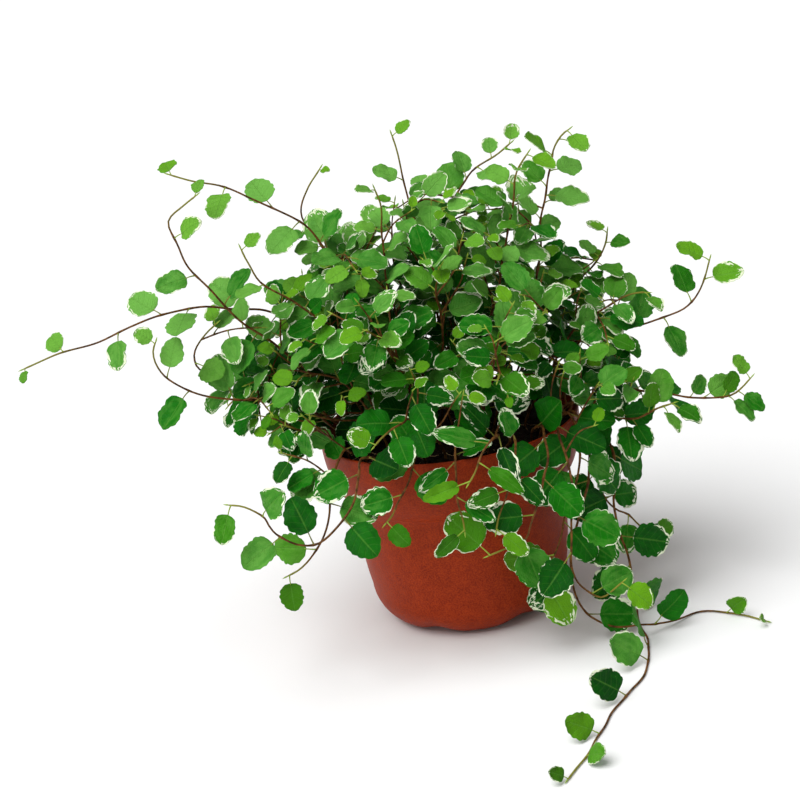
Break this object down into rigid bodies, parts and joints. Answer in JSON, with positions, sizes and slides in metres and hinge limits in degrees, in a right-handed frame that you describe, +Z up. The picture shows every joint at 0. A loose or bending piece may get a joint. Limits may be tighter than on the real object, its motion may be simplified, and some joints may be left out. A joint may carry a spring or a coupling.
{
  "type": "potted plant",
  "caption": "Variegated creeping fig with small round leaves on thin wiry stems, a bushy mound with trailing runners, in a round plastic nursery pot.",
  "frame": {"origin": "the middle of the underside of the pot, on the surface that it stands on", "axes": "+Z is up along the pot's axis, -Y is the side shown to the viewer, and +X is to the viewer's right"},
  "size_m": [0.3235, 0.2634, 0.2301],
  "materials": {
    "terracotta_plastic": "matt, finely mottled brick red",
    "peat": "loose damp potting soil, matt",
    "leaf_green": "satin leaves with uneven cream margins on brown woody stems"
  },
  "bodies": {
    "root": {"pot": "terracotta_plastic", "soil": "peat", "bush_01": "leaf_green", "bush_02": "leaf_green", "bush_03": "leaf_green", "bush_04": "leaf_green", "bush_05": "leaf_green", "bush_06": "leaf_green", "bush_07": "leaf_green", "bush_08": "leaf_green", "bush_09": "leaf_green", "bush_10": "leaf_green", "bush_11": "leaf_green", "bush_12": "leaf_green", "bush_13": "leaf_green", "bush_14": "leaf_green", "bush_15": "leaf_green", "bush_16": "leaf_green", "bush_17": "leaf_green", "bush_18": "leaf_green", "far_left": "leaf_green", "front_left": "leaf_green", "front_mid": "leaf_green", "front_right": "leaf_green", "front_spray": "leaf_green", "left_drop": "leaf_green", "left_fan": "leaf_green", "left_hang": "leaf_green", "left_hook_low": "leaf_green", "left_hook_up": "leaf_green", "left_twig": "leaf_green", "right_curl": "leaf_green", "right_drop": "leaf_green", "right_hang": "leaf_green", "right_long": "leaf_green", "right_loop": "leaf_green", "right_low": "leaf_green", "right_pot": "leaf_green", "right_reach": "leaf_green", "right_side": "leaf_green", "right_top": "leaf_green", "rim_left": "leaf_green", "s_curl": "leaf_green", "top_arch": "leaf_green", "top_left": "leaf_green", "top_left_up": "leaf_green", "top_mid": "leaf_green", "top_small": "leaf_green", "top_tall": "leaf_green"}
  },
  "joints": []
}
